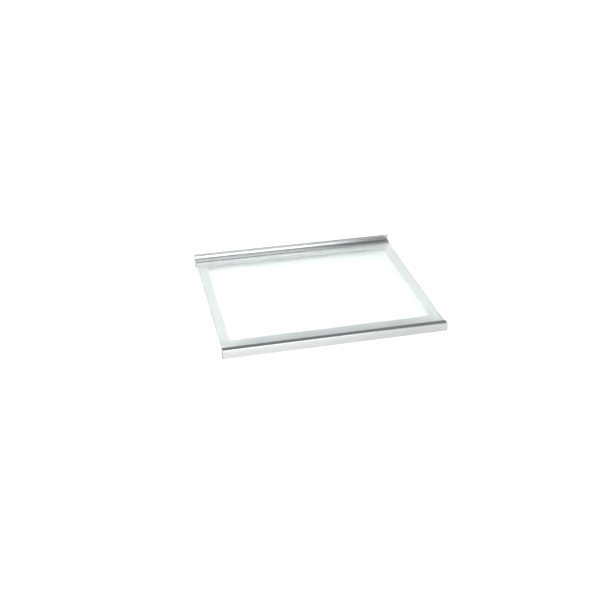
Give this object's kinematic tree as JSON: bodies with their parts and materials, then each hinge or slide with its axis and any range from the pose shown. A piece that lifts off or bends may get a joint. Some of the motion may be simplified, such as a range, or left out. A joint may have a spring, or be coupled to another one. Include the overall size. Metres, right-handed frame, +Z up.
{
  "type": "refrigerator glass shelf",
  "caption": "Rectangular toughened glass fridge shelf with a pale fired border, a bright metal front trim and a rear trim with a low upstand.",
  "frame": {"origin": "under the middle of the shelf, on the plane of the feet of both trims", "axes": "+X to the user's right along the trims, +Y to the back of the cabinet, +Z up"},
  "size_m": [0.44, 0.3702, 0.0285],
  "materials": {
    "glass": "clear toughened glass with ground edges",
    "border_enamel": "pale grey-green fired enamel, half see-through",
    "trim_metal": "bright satin anodised extrusion",
    "end_cap": "grey moulded plastic, fine matt texture",
    "liner": "soft dark grey glazing liner"
  },
  "bodies": {
    "root": {"glass_pane": "glass", "printed_border": "border_enamel", "front_trim": "trim_metal", "rear_trim": "trim_metal", "front_left_cap": "end_cap", "front_right_cap": "end_cap", "rear_left_cap": "end_cap", "rear_right_cap": "end_cap", "front_liner": "liner", "rear_liner": "liner"}
  },
  "joints": []
}
